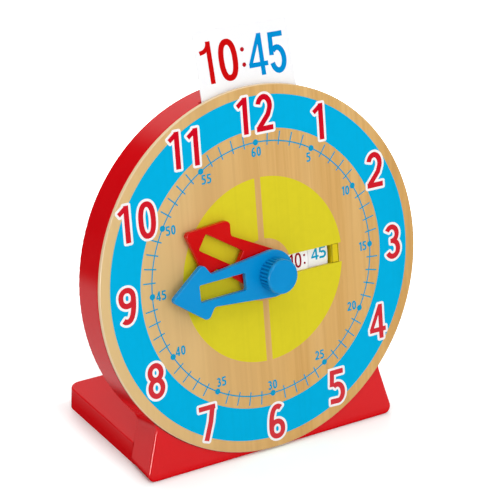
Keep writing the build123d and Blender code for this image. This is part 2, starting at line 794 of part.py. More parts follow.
with BuildPart() as cluster_pinion:
    with BuildSketch(stud_level(cluster_pinion_front)):
        add(gear_outline(pinion_teeth, cluster_tooth_angle))
    extrude(amount=cluster_rear_front - cluster_pinion_front)
    with BuildSketch(stud_level(cluster_front)):
        Circle(cluster_hub_radius)
    extrude(amount=cluster_back - cluster_front)
    with BuildSketch(stud_level(cluster_front)):
        Circle(stud_radius + running_gap)
    extrude(amount=cluster_back - cluster_front, mode=Mode.SUBTRACT)
finish(cluster_pinion, "cluster_pinion")

# ---- Time card standing in its slot ----
card_plane = Plane(
    origin=dial_plane.from_local_coords((card_offset, card_foot, body_front - lay_gap)),
    x_dir=dial_plane.x_dir,
    z_dir=dial_plane.z_dir * cos(card_tilt) + dial_plane.y_dir * sin(card_tilt),
)
with BuildPart() as time_card:
    with BuildSketch(card_plane):
        with Locations((0, card_height / 2)):
            RectangleRounded(card_width, card_height, card_corner_round)
    extrude(amount=-card_thickness)
finish(time_card, "time_card")
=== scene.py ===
"""Looks of the geared teaching clock: materials, printed numbers and rings, studio, camera.

Positions on the clock are given in the dial's own directions, in millimetres: x to the
right, v up along the leaning dial, w out of it towards the viewer, from the middle of the
dial's front face.
"""
import json
from math import acos, asin, cos, degrees, pi, radians, sin

import bmesh
import bpy
import numpy
from mathutils import Matrix, Vector
from mathutils.geometry import delaunay_2d_cdt


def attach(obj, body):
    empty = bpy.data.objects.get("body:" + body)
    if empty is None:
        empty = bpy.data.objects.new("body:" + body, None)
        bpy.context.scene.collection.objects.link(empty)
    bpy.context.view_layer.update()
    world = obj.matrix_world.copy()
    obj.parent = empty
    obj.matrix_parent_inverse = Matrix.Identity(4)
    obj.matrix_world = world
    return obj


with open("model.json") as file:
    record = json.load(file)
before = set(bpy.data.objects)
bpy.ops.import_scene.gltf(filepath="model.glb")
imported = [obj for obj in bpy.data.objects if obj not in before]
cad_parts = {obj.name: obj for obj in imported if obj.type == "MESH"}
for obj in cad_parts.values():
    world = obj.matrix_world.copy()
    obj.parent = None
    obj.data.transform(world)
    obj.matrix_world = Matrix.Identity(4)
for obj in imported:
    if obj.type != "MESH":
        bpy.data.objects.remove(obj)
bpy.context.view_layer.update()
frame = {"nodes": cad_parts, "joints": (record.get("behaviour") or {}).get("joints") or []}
nodes = frame["nodes"]

# ---------------------------------------------------------------- directions and sizes
LEAN = radians(12.0)
RIGHT = Vector((1, 0, 0))
UP = Vector((0, sin(LEAN), cos(LEAN)))
OUT = Vector((0, -cos(LEAN), sin(LEAN)))
CENTRE = Vector(next(j for j in frame["joints"] if j["name"] == "minute_turn")["pos_m"])
MM = 0.001

CARD_LEAN = radians(8.7)
CARD_UP = UP * cos(CARD_LEAN) - OUT * sin(CARD_LEAN)
CARD_OUT = OUT * cos(CARD_LEAN) + UP * sin(CARD_LEAN)
CARD_FOOT = CENTRE + (UP * 127.2 - OUT * 3.3) * MM      # the middle of its lower front edge

DIAL_RADIUS, DIAL_THICKNESS = 144.2, 3.0
HOUR_DISC_RADIUS = 43.3
HOUR_DISC_FRONT, MINUTE_DISC_FRONT = -3.4, -5.0
PRINT_RISE = 0.7             # the print sits this far above the dial's middle
RING_INNER, RING_OUTER = 109.7, 135.6
TRACK_RADIUS, TRACK_WIDTH, DOT_RADIUS = 100.0, 1.0, 2.4
TICK_INNER, TICK_OUTER, TICK_WIDTH = 96.8, 107.5, 1.0
DISC_RADIUS, HUB_RADIUS = 72.8, 24.5
GAP_LEFT, GAP_RIGHT = -3.5, 1.8
BAND_TOP, BAND_BOTTOM = 7.0, -8.4
HOUR_SHOWN, MINUTE_SHOWN = 9.98, 44.69
WINDOW_START, WINDOW_END, WINDOW_HALF = 20.0, 69.9, 7.7


def on_dial(x, v, w=0.0):
    return CENTRE + (RIGHT * x + UP * v + OUT * w) * MM


def on_card(x, y, w):
    return CARD_FOOT + (RIGHT * x + CARD_UP * y + CARD_OUT * w) * MM


# ---------------------------------------------------------------- material helpers
def feed(tree, socket, value):
    """Link another socket to this one, or set its value."""
    if isinstance(value, bpy.types.NodeSocket):
        tree.links.new(value, socket)
    else:
        socket.default_value = value


def graph(tree):
    """Short ways to add a map range and a math node; either may take sockets or numbers."""
    def span(value, low, high, start=0.0, end=1.0, smooth=False):
        made = tree.nodes.new("ShaderNodeMapRange")
        made.interpolation_type = "SMOOTHSTEP" if smooth else "LINEAR"
        for key, amount in (("Value", value), ("From Min", low), ("From Max", high),
                            ("To Min", start), ("To Max", end)):
            feed(tree, made.inputs[key], amount)
        return made.outputs["Result"]

    def math(operation, *values):
        made = tree.nodes.new("ShaderNodeMath")
        made.operation = operation
        for socket, value in zip(made.inputs, values):
            feed(tree, socket, value)
        return made.outputs[0]

    return span, math


def srgb(r, g, b):
    """Linear colour from the 0 to 255 values that a picture shows."""
    def line(c):
        c /= 255
        return c / 12.92 if c <= 0.04045 else ((c + 0.055) / 1.055) ** 2.4
    return (line(r), line(g), line(b), 1.0)


DIAL_TURN = (-LEAN, 0, 0)


class Look:
    """A procedural material under construction. Colours are linear, place is in metres."""

    def __init__(self, name, rough, **sockets):
        self.material = bpy.data.materials.new(name)
        self.material.use_nodes = True
        self.tree = self.material.node_tree
        self.shader = self.tree.nodes["Principled BSDF"]
        self.shader.inputs["Roughness"].default_value = rough
        for key, value in sockets.items():
            self.shader.inputs[key.replace("_", " ")].default_value = value
        self.place = self.node("ShaderNodeTexCoord").outputs["Object"]
        self.span, self.math = graph(self.tree)

    def node(self, kind, **inputs):
        made = self.tree.nodes.new(kind)
        for key, value in inputs.items():
            feed(self.tree, made.inputs[key.replace("_", " ")], value)
        return made

    def turned(self, scale, rotation):
        """Object coordinates, turned and stretched."""
        mapping = self.node("ShaderNodeMapping", Vector=self.place)
        mapping.vector_type = "TEXTURE"
        mapping.inputs["Rotation"].default_value = rotation
        stretch = self.node("ShaderNodeMapping", Vector=mapping.outputs[0])
        stretch.inputs["Scale"].default_value = scale
        return stretch.outputs[0]

    def noise(self, place, scale, detail=3.0, roughness=0.5):
        made = self.node("ShaderNodeTexNoise", Vector=place, Scale=scale, Detail=detail,
                         Roughness=roughness)
        return made.outputs["Fac"]

    def dial_place(self):
        """Sockets, in mm: x and v on the dial, the depth behind its face, the way from its axis."""
        local = self.node("ShaderNodeMapping", Vector=self.place)
        local.vector_type = "TEXTURE"
        local.inputs["Location"].default_value = CENTRE
        local.inputs["Rotation"].default_value = DIAL_TURN
        local.inputs["Scale"].default_value = (MM, MM, MM)
        x, depth, v = self.node("ShaderNodeSeparateXYZ", Vector=local.outputs[0]).outputs
        squares = [self.math("MULTIPLY", side, side) for side in (x, v)]
        return x, v, depth, self.math("SQRT", self.math("ADD", *squares))

    def ramp(self, value, *stops):
        """Colours along a 0 to 1 value: (position, colour) pairs."""
        made = self.node("ShaderNodeValToRGB", Fac=value)
        elements = made.color_ramp.elements
        while len(elements) < len(stops):
            elements.new(0.5)
        for element, (position, colour) in zip(elements, stops):
            element.position, element.color = position, colour
        return made.outputs["Color"]

    def mix(self, share, one, two):
        """The colour between one and two at this share of the way."""
        made = self.node("ShaderNodeMix", Factor=share)
        made.data_type = "RGBA"
        feed(self.tree, made.inputs[6], one)
        feed(self.tree, made.inputs[7], two)
        return made.outputs[2]

    def shade(self, key, value):
        """Set or link an input of the material's shader."""
        feed(self.tree, self.shader.inputs[key], value)

    def roughness(self, value, low, high):
        self.shade("Roughness", self.span(value, 0.0, 1.0, low, high))

    def bump(self, *layers):
        """Stacked bumps: (height value, depth in mm, strength)."""
        normal = None
        for value, depth, strength in layers:
            made = self.node("ShaderNodeBump", Height=value, Strength=strength,
                             Distance=depth * MM)
            if normal is not None:
                feed(self.tree, made.inputs["Normal"], normal)
            normal = made.outputs[0]
        self.shade("Normal", normal)

    def colour(self, value):
        self.shade("Base Color", value)

    def source(self, key):
        """The socket that feeds an input of the shader so far."""
        return self.shader.inputs[key].links[0].from_socket


def dress(node, look):
    """Give a CAD node its material."""
    slots = nodes[node].data.materials
    slots.clear()
    slots.append(look.material)


# ---------------------------------------------------------------- materials

def painted_board():
    """Glossy paint over fibreboard: faint orange peel, a few specks, painted shade round the dial's
    lower half.
    """
    look = Look("red_lacquer", 0.15, Specular_IOR_Level=0.5)
    cloud = look.noise(look.place, 9.0)
    speck = look.noise(look.place, 900.0, 4.0)
    tone = look.ramp(cloud, (0.3, srgb(219, 0, 10)), (0.7, srgb(226, 3, 16)))
    tone = look.mix(look.span(speck, 0.66, 0.8), tone, srgb(184, 3, 14))
    _, v, depth, radius = look.dial_place()
    # Painted shade: dark red in the groove just behind the dial's lower half, and a thin line on
    # the foot's front just below the dial
    near_rim = look.span(radius, DIAL_RADIUS + 1.0, DIAL_RADIUS + 0.2)
    near_dial = look.span(depth, DIAL_THICKNESS + 1.4, DIAL_THICKNESS + 0.8)
    low = look.span(v, 0, -50)
    seam_shade = look.math("MULTIPLY", look.math("MULTIPLY", near_rim, near_dial), low)
    look.colour(look.mix(seam_shade, tone, srgb(96, 0, 8)))
    look.roughness(look.noise(look.place, 60.0), 0.12, 0.19)
    look.bump((look.noise(look.place, 420.0, 2.0), 0.05, 0.2),
              (look.noise(look.place, 45.0, 2.0), 0.3, 0.1))
    return look


def wood(look, turn, dark, mid, light):
    """Colours and bumps of wood with its grain along the turned z."""
    broad = look.noise(look.turned((1.0, 0.3, 0.05), turn), 30.0, 4.0, 0.6)
    streak = look.noise(look.turned((1.0, 0.3, 0.018), turn), 260.0, 5.0, 0.65)
    pore = look.noise(look.turned((1.0, 0.4, 0.045), turn), 1300.0, 3.0, 0.6)
    tone = look.ramp(broad, (0.28, dark), (0.5, mid), (0.74, light))
    tone = look.mix(look.span(streak, 0.42, 0.85), tone, dark)
    tone = look.mix(look.span(pore, 0.68, 0.9), tone, tuple(0.72 * c for c in dark[:3]) + (1,))
    look.roughness(streak, 0.4, 0.52)
    look.bump((pore, 0.05, 0.3), (streak, 0.06, 0.2))
    return tone


def dial_veneer():
    """Pale veneer, a glossier rounded rim with a paler painted highlight, and painted window walls.
    """
    look = Look("maple_veneer", 0.45)
    tone = wood(look, DIAL_TURN, srgb(204, 153, 85), srgb(220, 173, 103), srgb(229, 187, 122))
    x, v, _, radius = look.dial_place()
    tone = look.mix(look.span(x, 20, -160), tone, srgb(224, 192, 136))
    edge = look.span(radius, DIAL_RADIUS - 1.5, DIAL_RADIUS - 1.1)
    look.shade("Roughness", look.span(edge, 0.0, 1.0, look.source("Roughness"), 0.24))
    look.shade("Specular IOR Level", look.span(edge, 0.0, 1.0, 0.15, 0.4))
    # Painted highlight: the rounded rim is painted paler, as a line of light along the dial's edge
    rim = look.span(radius, DIAL_RADIUS - 0.9, DIAL_RADIUS - 0.3)
    tone = look.mix(rim, tone, srgb(242, 214, 172))
    along = look.math("ABSOLUTE", look.math("SUBTRACT", x, (WINDOW_START + WINDOW_END) / 2))
    across = look.math("ABSOLUTE", v)
    half_length = (WINDOW_END - WINDOW_START) / 2
    inside_ends = look.span(along, half_length + 0.23, half_length + 0.07)
    inside_sides = look.span(across, WINDOW_HALF + 0.23, WINDOW_HALF + 0.07)
    wall = look.math("MULTIPLY", inside_ends, inside_sides)
    look.colour(look.mix(wall, tone, srgb(222, 205, 40)))
    return look


def beech():
    look = Look("beech_dowel", 0.5, Specular_IOR_Level=0.3)
    look.colour(wood(look, (radians(90), 0, 0), srgb(196, 150, 96), srgb(210, 168, 114),
                     srgb(220, 180, 128)))
    return look


def plastic(name, colour, darker, rough, **sockets):
    """Moulded plastic: fine spark-eroded grain, faint flow clouds."""
    look = Look(name, rough, **sockets)
    cloud = look.noise(look.place, 38.0, 3.0)
    look.colour(look.ramp(cloud, (0.35, darker), (0.65, colour)))
    fine = look.noise(look.place, 1100.0, 2.0)
    look.roughness(cloud, rough - 0.05, rough + 0.07)
    look.bump((fine, 0.03, 0.3), (cloud, 0.25, 0.08))
    return look


def disc_plastic():
    """The number discs' white, with a fine grey line of painted shade at the hour disc's rim."""
    look = plastic("white_plastic", srgb(255, 255, 255), srgb(253, 253, 253), 0.4,
                   Specular_IOR_Level=0.2)
    radius = look.dial_place()[3]
    # Painted shade: grey just inside the hour disc's rim, and on the minute disc just beyond it,
    # where the hour disc's edge throws its shadow
    edge = look.math("MULTIPLY",
                     look.span(radius, HOUR_DISC_RADIUS - 0.6, HOUR_DISC_RADIUS - 0.3),
                     look.span(radius, HOUR_DISC_RADIUS + 0.6, HOUR_DISC_RADIUS + 0.2))
    look.colour(look.mix(edge, look.source("Base Color"), srgb(205, 196, 200)))
    return look


def metal(name, colour, rough, brushed=(1, 1, 1)):
    look = Look(name, rough, Metallic=1.0)
    lines = look.noise(look.turned(brushed, DIAL_TURN), 700.0, 4.0, 0.7)
    look.colour(look.mix(look.span(lines, 0.3, 0.8), colour,
                         tuple(0.8 * c for c in colour[:3]) + (1,)))
    look.roughness(lines, rough - 0.08, rough + 0.12)
    look.bump((lines, 0.02, 0.3))
    return look


def ink(name, colour, lower=None):
    """Screen-printed ink: slightly uneven, with the grain below it just showing.

    Towards the foot of the dial it may be given another tone, as a painted sheen.
    """
    look = Look(name, 0.45, Specular_IOR_Level=0.02)
    grain = look.noise(look.turned((1.0, 0.3, 0.018), DIAL_TURN), 260.0, 5.0, 0.65)
    blot = look.noise(look.place, 160.0, 2.0)
    thin = tuple(0.97 * c for c in colour[:3]) + (1,)
    dark = tuple(0.92 * c for c in colour[:3]) + (1,)
    tone = look.mix(look.span(blot, 0.35, 0.75), colour, thin)
    tone = look.mix(look.span(grain, 0.5, 0.9), tone, dark)
    # Painted sheen: the tone moves towards the lower colour down the dial
    if lower:
        tone = look.mix(look.span(look.dial_place()[1], 120, -120), tone, lower)
    look.colour(tone)
    look.bump((grain, 0.04, 0.12), (look.noise(look.place, 1500.0), 0.02, 0.2))
    look.roughness(blot, 0.4, 0.5)
    return look


def card_stock():
    look = Look("card_stock", 0.4, Specular_IOR_Level=0.2)
    fibre = look.noise(look.place, 800.0, 4.0, 0.6)
    cloud = look.noise(look.place, 30.0, 2.0)
    look.colour(look.ramp(look.mix(0.5, fibre, cloud), (0.3, srgb(251, 251, 253)),
                          (0.7, srgb(254, 254, 255))))
    look.bump((fibre, 0.02, 0.15))
    look.roughness(cloud, 0.34, 0.46)
    return look


def hardboard():
    look = Look("hardboard", 0.55)
    fibre = look.noise(look.turned((1.0, 1.0, 0.35), DIAL_TURN), 420.0, 6.0, 0.7)
    blot = look.noise(look.place, 26.0, 3.0)
    tone = look.ramp(fibre, (0.3, srgb(96, 66, 42)), (0.6, srgb(128, 92, 60)),
                     (0.85, srgb(152, 116, 80)))
    look.colour(look.mix(look.span(blot, 0.3, 0.8), tone, srgb(110, 78, 50)))
    look.roughness(fibre, 0.45, 0.7)
    look.bump((fibre, 0.12, 0.4))
    return look


RED_BOARD = painted_board()
VENEER = dial_veneer()
BLUE = plastic("blue_plastic", srgb(0, 148, 215), srgb(0, 142, 209), 0.22,
               Specular_IOR_Level=0.28)
RED = plastic("red_plastic", srgb(214, 2, 1), srgb(206, 0, 0), 0.22, Specular_IOR_Level=0.35)
YELLOW = plastic("yellow_plastic", srgb(232, 208, 20), srgb(222, 198, 10), 0.4,
                 Specular_IOR_Level=0.2)
WHITE = disc_plastic()
ACETAL = plastic("natural_acetal", srgb(236, 233, 220), srgb(228, 224, 208), 0.38,
                 Subsurface_Weight=0.05)
NYLON = plastic("grey_nylon", srgb(92, 92, 98), srgb(76, 76, 82), 0.5)
STEEL = metal("zinc_steel", srgb(196, 196, 200), 0.3)
PLATE = metal("brushed_aluminium", srgb(208, 210, 213), 0.32, (1, 0.2, 0.04))
CARD = card_stock()
HARDBOARD = hardboard()
DOWEL = beech()

INK_BLUE = ink("ink_blue", srgb(0, 177, 226))
INK_YELLOW = ink("ink_yellow", srgb(222, 208, 42))
INK_THIN = ink("ink_thin_blue", srgb(20, 156, 200))
# The red ink is painted paler towards the dial's foot, as a painted sheen
INK_RED = ink("ink_red", srgb(210, 6, 32), lower=srgb(212, 56, 64))
INK_WHITE = ink("ink_white", srgb(250, 248, 248))
DISC_RED = ink("disc_dark_red", srgb(150, 8, 36))
DISC_TEAL = ink("disc_teal", srgb(0, 166, 208))
CARD_RED = ink("card_red", srgb(206, 10, 12))
CARD_COLON = ink("card_colon", srgb(186, 20, 32))
CARD_BLUE = ink("card_blue", srgb(0, 143, 212))

LOOKS = {
    RED_BOARD: ["body_frame", "base_plate"],
    VENEER: ["dial_board"],
    DOWEL: ["base_dowels"],
    HARDBOARD: ["back_cover"],
    YELLOW: ["movement_tray"],
    BLUE: ["knob", "minute_hand"],
    RED: ["hour_hand"],
    WHITE: ["hour_disc", "minute_disc"],
    ACETAL: ["hour_bush", "shaft_bush", "shaft_pinion", "hour_sleeve", "hour_wheel",
             "minute_disc_gear", "cluster_wheel_front", "cluster_pinion",
             "cluster_wheel_rear"],
    NYLON: ["friction_washer"],
    STEEL: ["tray_screws", "gear_plate_screws", "back_cover_screws", "cluster_stud",
            "stud_clip", "minute_shaft", "shaft_washer", "shaft_screw"],
    PLATE: ["gear_plate"],
    CARD: ["time_card"],
}
for look, names in LOOKS.items():
    for name in names:
        dress(name, look)


# ---------------------------------------------------------------- flat printed shapes
def inside(points, triangles):
    """Which points lie in any of the triangles (corners counter-clockwise)."""
    found = numpy.ones((len(points), len(triangles)), bool)
    for i, j in ((0, 1), (1, 2), (2, 0)):
        start, along = triangles[:, i], triangles[:, j] - triangles[:, i]
        away = points[:, None] - start
        found &= along[:, 0] * away[..., 1] > along[:, 1] * away[..., 0]
    return found.any(axis=1)


def print_shape(name, faces, place, low, high, look, body):
    """A printed layer: polygons in the surface's own x and y, from low to high above it.

    Each face is a list of (x, y). place turns (x, y, height) into a point of the scene.
    """
    corners, triangles = [], []
    for outline in faces:
        for one, two in zip(outline[1:], outline[2:]):
            a, b, c = Vector(outline[0]), Vector(one), Vector(two)
            area = (b - a).cross(c - a)
            longest = max((b - a).length, (c - a).length, (c - b).length)
            if abs(area) > 0.003 * longest:
                triangles.append([len(corners) + i for i in range(3)])
                corners += [a, b, c] if area > 0 else [a, c, b]
    points, _, parts, *_ = delaunay_2d_cdt(corners, [], triangles, 1, 0.0005, False)
    middles = [sum((points[i] for i in part), Vector((0, 0))) / 3 for part in parts]
    covered = inside(numpy.array(middles), numpy.array(corners).reshape(-1, 3, 2))
    parts = [part for part, kept in zip(parts, covered) if kept]
    bm = bmesh.new()
    top = [bm.verts.new(place(x, y, high)) for x, y in points]
    foot = [bm.verts.new(place(x, y, low)) for x, y in points]
    used = set()
    for part in parts:
        bm.faces.new([top[i] for i in part])
        bm.faces.new([foot[i] for i in reversed(part)])
        used.update(zip(part, part[1:] + part[:1]))
    for i, j in used:
        if (j, i) not in used:
            bm.faces.new([top[j], top[i], foot[i], foot[j]])
    loose = [vert for vert in bm.verts if not vert.link_faces]
    bmesh.ops.delete(bm, geom=loose, context="VERTS")
    mesh = bpy.data.meshes.new(name)
    bm.to_mesh(mesh)
    bm.free()
    mesh.materials.append(look.material)
    piece = bpy.data.objects.new(name, mesh)
    bpy.context.scene.collection.objects.link(piece)
    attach(piece, body)


def strip(one, two, closed=False):
    """Four-sided faces between two lines of as many points."""
    pairs = list(zip(one, two))
    ahead = pairs[1:] + pairs[:1] if closed else pairs[1:]
    return [[a, b, d, c] for (a, b), (c, d) in zip(pairs, ahead)]


def arc(cx, cy, rx, ry, start, end, steps, power=2.0):
    """Points on an ellipse, or on a squarer curve with a power above 2. Degrees."""
    points = []
    for i in range(steps + 1):
        t = radians(start + (end - start) * i / steps)
        c, s = cos(t), sin(t)
        points.append((cx + rx * abs(c) ** (2 / power) * (1 if c > 0 else -1),
                       cy + ry * abs(s) ** (2 / power) * (1 if s > 0 else -1)))
    return points


def ring(inner, outer):
    return strip(arc(0, 0, inner, inner, 0, 360, 360)[:-1],
                 arc(0, 0, outer, outer, 0, 360, 360)[:-1], closed=True)


def sector(start_inner, end_inner, start_outer, end_outer):
    """Part of the yellow disc between straight gaps; angles in radians."""
    return strip(
        arc(0, 0, HUB_RADIUS, HUB_RADIUS, degrees(start_inner), degrees(end_inner), 90),
        arc(0, 0, DISC_RADIUS, DISC_RADIUS, degrees(start_outer), degrees(end_outer), 90))


def blob(cx, cy, radius, steps=28):
    return [arc(cx, cy, radius, radius, 0, 360, steps)[:-1]]


def ribbon(points, half, closed):
    """Faces of a flat stroke along a line, half its width to each side."""
    points = [Vector(p) for p in points]
    left, right = [], []
    count = len(points)
    for i, point in enumerate(points):
        before = points[i - 1] if i or closed else None
        after = points[(i + 1) % count] if i < count - 1 or closed else None
        into = (point - before).normalized() if before is not None else None
        away = (after - point).normalized() if after is not None else None
        into, away = into or away, away or into
        side = Vector((-into.y - away.y, into.x + away.x)).normalized()
        reach = half / max(0.35, side.dot(Vector((-into.y, into.x))))
        left.append(tuple(point + side * reach))
        right.append(tuple(point - side * reach))
    return strip(left, right, closed)


def stroke(points, half, closed, grow=0.0):
    """Faces of a stroke with square ends, and of an even margin with round corners."""
    faces = ribbon(points, half + grow, closed)
    if grow and not closed:
        for end, near in ((points[0], points[1]), (points[-1], points[-2])):
            end = Vector(end)
            out = (end - Vector(near)).normalized()
            side = Vector((-out.y, out.x)) * half
            faces.append([tuple(p) for p in (end - side, end + side, end + side + out * grow,
                                             end - side + out * grow)])
            for corner in (end - side, end + side):
                faces += blob(*corner, grow, 20)
    return faces


def strokes(digit, w, h, p):
    """Centre lines of a digit w wide and h high, drawn with a pen p wide.

    Returns (points, closed, share of the pen's width). Square ends are at the digit's edges.
    """
    a = p / 2
    # The outermost centre lines: left, right, bottom and top
    l, r, b, t, cx = a, w - a, a, h - a, w / 2
    rx, tall = (r - l) / 2, t - b
    if digit == "0":
        return [(arc(cx, h / 2, rx, tall / 2, 0, 360, 44, 2.35)[:-1], True, 1)]
    if digit == "1":
        return [([(r, 0), (r, h)], False, 1),
                ([(r - a * 0.3, h * 0.933), (w * 0.02, h * 0.775)], False, 0.84)]
    if digit == "2":
        ry = tall * 0.29
        return [(arc(cx, t - ry, rx, ry, 165, -22, 22)
                 + [(cx + rx * 0.6, h * 0.43), (l + rx * 0.1, b + h * 0.04), (l, b)], False, 1),
                ([(0, b * 0.93), (w, b * 0.93)], False, 0.93)]
    if digit == "3":
        up, down = tall * 0.235, tall * 0.265
        return [(arc(cx - 0.03 * w, t - up, rx * 0.94, up, 152, -84, 20), False, 0.97),
                (arc(cx - 0.02 * w, b + down, rx * 1.02, down, 84, -152, 20), False, 1),
                ([(w * 0.37, t - 2 * up), (cx + 0.06 * w, t - 2 * up)], False, 0.85)]
    if digit == "4":
        x = w * 0.70
        return [([(x, 0), (x, h)], False, 0.95),
                ([(x - a * 0.3, h - a * 0.8), (a * 0.62, h * 0.27)], False, 0.78),
                ([(0, h * 0.265), (w, h * 0.265)], False, 0.88)]
    if digit == "5":
        ry = tall * 0.285
        return [([(w * 0.93, t), (l + 0.07 * w, t), (l + 0.02 * w, h * 0.52)], False, 0.95),
                (arc(cx, b + ry, rx, ry, 128, -100, 22) + [(w * 0.03, b + h * 0.012)], False, 1)]
    if digit == "6":
        ry = tall * 0.25
        reach = cx + 0.08 * w - l
        return [(arc(cx, b + ry, rx, ry, 0, 360, 34, 2.15)[:-1], True, 0.97),
                (arc(l + reach, b + ry, reach, tall - ry, 180, 65, 22, 2.3), False, 1)]
    if digit == "7":
        return [([(0, t), (w, t)], False, 0.92),
                ([(w - a * 1.2, t), (w * 0.66, h * 0.5), (w * 0.33, 0)], False, 1)]
    if digit == "8":
        up, down = tall * 0.235, tall * 0.265
        return [(arc(cx, t - up, rx * 0.92, up, 0, 360, 30)[:-1], True, 0.97),
                (arc(cx, b + down, rx, down, 0, 360, 34)[:-1], True, 0.97)]
    if digit == "9":
        return [([(w - x, h - y) for x, y in points], closed, share)
                for points, closed, share in strokes("6", w, h, p)]
    raise ValueError(digit)


COLON_DOTS = (0.22, 0.75)


def digit_width(character, width, pen):
    return {":": pen * 1.5, "1": width * 0.6, "4": width * 1.05}.get(character, width)


def written(text, width, height, pen, gap, grow=0.0):
    """Faces of a centred line of digits, with a margin of grow for an outline."""
    widths = [digit_width(c, width, pen) for c in text]
    x, faces = -(sum(widths) + gap * (len(text) - 1)) / 2, []
    for c, wide in zip(text, widths):
        if c == ":":
            for y in COLON_DOTS:
                faces += blob(x + wide / 2, height * (y - 0.5), pen * 0.58 + grow)
        else:
            for points, closed, share in strokes(c, wide, height, pen):
                moved = [(px + x, py - height / 2) for px, py in points]
                faces += stroke(moved, pen / 2 * share, closed, grow)
        x += wide + gap
    return faces


def shifted(faces, dx, dy, turn=0.0):
    c, s = cos(turn), sin(turn)
    return [[(dx + x * c - y * s, dy + x * s + y * c) for x, y in face] for face in faces]


# ---------------------------------------------------------------- the dial's print
LAYER = 0.07


def on_print(x, y, w):
    return on_dial(x, y + PRINT_RISE, w)


def dial_print(name, faces, layer, look):
    print_shape(name, faces, on_print, 0.01, LAYER * layer, look, "case")


dial_print("print_hour_ring", ring(RING_INNER, RING_OUTER), 1, INK_BLUE)

sectors = sector(acos(GAP_LEFT / HUB_RADIUS), 2 * pi - acos(GAP_LEFT / HUB_RADIUS),
                 acos(GAP_LEFT / DISC_RADIUS), 2 * pi - acos(GAP_LEFT / DISC_RADIUS))
sectors += sector(asin(BAND_TOP / HUB_RADIUS), acos(GAP_RIGHT / HUB_RADIUS),
                  asin(BAND_TOP / DISC_RADIUS), acos(GAP_RIGHT / DISC_RADIUS))
sectors += sector(asin(BAND_BOTTOM / HUB_RADIUS), -acos(GAP_RIGHT / HUB_RADIUS),
                  asin(BAND_BOTTOM / DISC_RADIUS), -acos(GAP_RIGHT / DISC_RADIUS))
dial_print("print_yellow_disc", sectors, 1, INK_YELLOW)

track = ring(TRACK_RADIUS - TRACK_WIDTH / 2, TRACK_RADIUS + TRACK_WIDTH / 2)
half = TICK_WIDTH / 2
tick = [[(TICK_INNER, -half), (TICK_OUTER, -half), (TICK_OUTER, half), (TICK_INNER, half)]]
for minute in range(60):
    angle = radians(90 - 6 * minute)
    if minute % 5:
        track += shifted(tick, 0, 0, angle)
    else:
        track += blob(TRACK_RADIUS * cos(angle), TRACK_RADIUS * sin(angle), DOT_RADIUS)
dial_print("print_minute_track", track, 1, INK_THIN)

MINUTE_PLACES = {
    "60": (0, 92.7), "5": (47.1, 80.0), "10": (80.0, 47.3), "15": (93.4, -0.5),
    "20": (79.3, -46.7), "25": (45.8, -79.6), "30": (0, -93.4), "35": (-46.0, -79.6),
    "40": (-79.8, -46.7), "45": (-92.5, -0.5), "50": (-79.8, 47.3), "55": (-45.6, 80.0),
}
MINUTE_TYPE = (3.9, 7.4, 1.4, 0.75)     # width, height, pen and gap of the digits
small = []
for text, (x, v) in MINUTE_PLACES.items():
    small += shifted(written(text, *MINUTE_TYPE), x, v)
dial_print("print_minute_numbers", small, 1, INK_THIN)

HOUR_PLACES = {
    "12": (1.3, 121.5), "1": (58.5, 105.8), "2": (108.6, 58.7), "3": (122.4, -2.8),
    "4": (103.4, -65.5), "5": (60.5, -109.5), "6": (1.6, -124.0), "7": (-60.7, -109.3),
    "8": (-102.9, -65.1), "9": (-121.5, -2.3), "10": (-107.2, 59.1), "11": (-62.8, 106.0),
}
HOUR_TYPE = (14.9, 28.4, 4.3, 7.4)
HOUR_MARGIN = 1.9
reds, whites = [], []
for text, (x, v) in HOUR_PLACES.items():
    reds += shifted(written(text, *HOUR_TYPE), x, v)
    whites += shifted(written(text, *HOUR_TYPE, grow=HOUR_MARGIN), x, v)
dial_print("print_hour_outlines", whites, 2, INK_WHITE)
dial_print("print_hour_numbers", reds, 3, INK_RED)


# ---------------------------------------------------------------- numbers on the discs
HOUR_DISC_TYPE, HOUR_TEXT_RADIUS = (6.2, 12.0, 1.6, 1.6), 33.0
MINUTE_DISC_TYPE, MINUTE_TEXT_RADIUS = (6.7, 9.6, 1.75, 0.5), 54.2


def disc_print(name, labels, radius, lettering, front, body, look):
    """Twelve numbers round a disc: (label, place) pairs, upright at the window."""
    faces = []
    for label, place in labels:
        angle = radians(30 * place)
        faces += shifted(written(label, *lettering),
                         radius * cos(angle), radius * sin(angle), angle)
    print_shape(name, faces, on_dial, front + 0.01, front + LAYER, look, body)


hours = [(f"{hour}:", hour - HOUR_SHOWN) for hour in range(1, 13)]
disc_print("disc_hour_numbers", hours, HOUR_TEXT_RADIUS, HOUR_DISC_TYPE,
           HOUR_DISC_FRONT, "hour_group", DISC_RED)
minutes = [(f"{5 * n:02d}", n - MINUTE_SHOWN / 5) for n in range(12)]
disc_print("disc_minute_numbers", minutes, MINUTE_TEXT_RADIUS, MINUTE_DISC_TYPE,
           MINUTE_DISC_FRONT, "minute_disc_group", DISC_TEAL)


# ---------------------------------------------------------------- numbers on the card
def card_print(name, faces, look):
    print_shape(name, faces, on_card, 0.01, LAYER, look, "card")


def card_strokes(digit, w, h, p):
    """The card's own forms of 1 and 5; its other digits are those of the dial."""
    a = p / 2
    if digit == "1":
        r = w - a
        return [([(r, 0), (r, h)], False, 1),
                ([(r, h * 0.96), (r - 0.14 * w, h * 0.85), (r - 0.38 * w, h * 0.775),
                  (0, h * 0.745)], False, 0.8)]
    if digit == "5":
        ry = (h - p) * 0.318
        return [([(w * 0.93, h - a), (a + 0.07 * w, h - a), (a + 0.02 * w, h * 0.45)], False, 0.95),
                (arc(w / 2, a + ry, w / 2 - a, ry, 133, -164, 26), False, 1)]
    return strokes(digit, w, h, p)


CARD_LINE, CARD_TOP = 22.2, 54.0        # the digits' foot and top, from the card's lower edge
